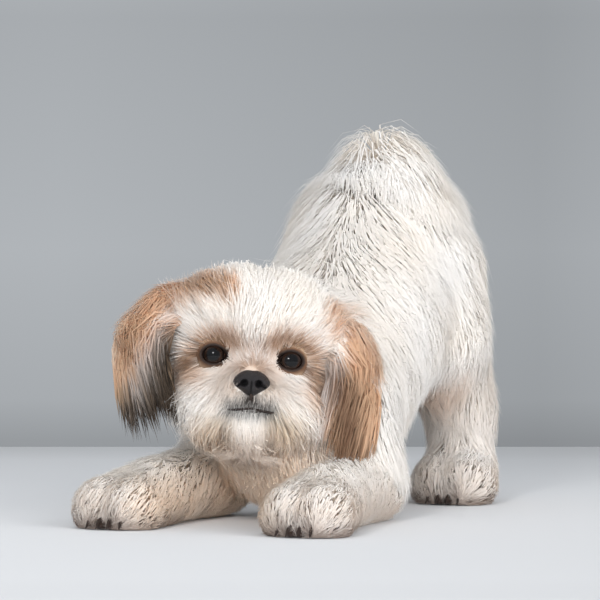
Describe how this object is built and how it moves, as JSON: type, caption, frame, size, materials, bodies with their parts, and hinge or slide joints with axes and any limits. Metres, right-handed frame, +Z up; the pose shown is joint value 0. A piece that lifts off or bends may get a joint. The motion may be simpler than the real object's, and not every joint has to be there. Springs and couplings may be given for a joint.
{
  "type": "shih tzu",
  "caption": "Life-size still model of an adult shih tzu in a play bow, elbows and forepaws on the floor, rump raised, plumed tail curled over its back, head turned to its left.",
  "frame": {"origin": "on the floor, below the middle of the dog's bounds", "axes": "+Z up, the dog faces -Y, +X towards the dog's left side"},
  "size_m": [0.1996, 0.3734, 0.2615],
  "materials": {
    "coat": "soft white hair",
    "ear_coat": "soft tan hair with dark tips",
    "eye": "wet, glossy dark brown",
    "nose": "damp black leather"
  },
  "bodies": {
    "root": {"head": "coat", "neck": "coat", "torso": "coat", "tail": "coat", "ear_left": "ear_coat", "ear_right": "ear_coat", "foreleg_left": "coat", "foreleg_right": "coat", "forepaw_left": "coat", "forepaw_right": "coat", "hindleg_left": "coat", "hindleg_right": "coat", "hindpaw_left": "coat", "hindpaw_right": "coat", "eye_left": "eye", "eye_right": "eye", "nose": "nose"}
  },
  "joints": []
}
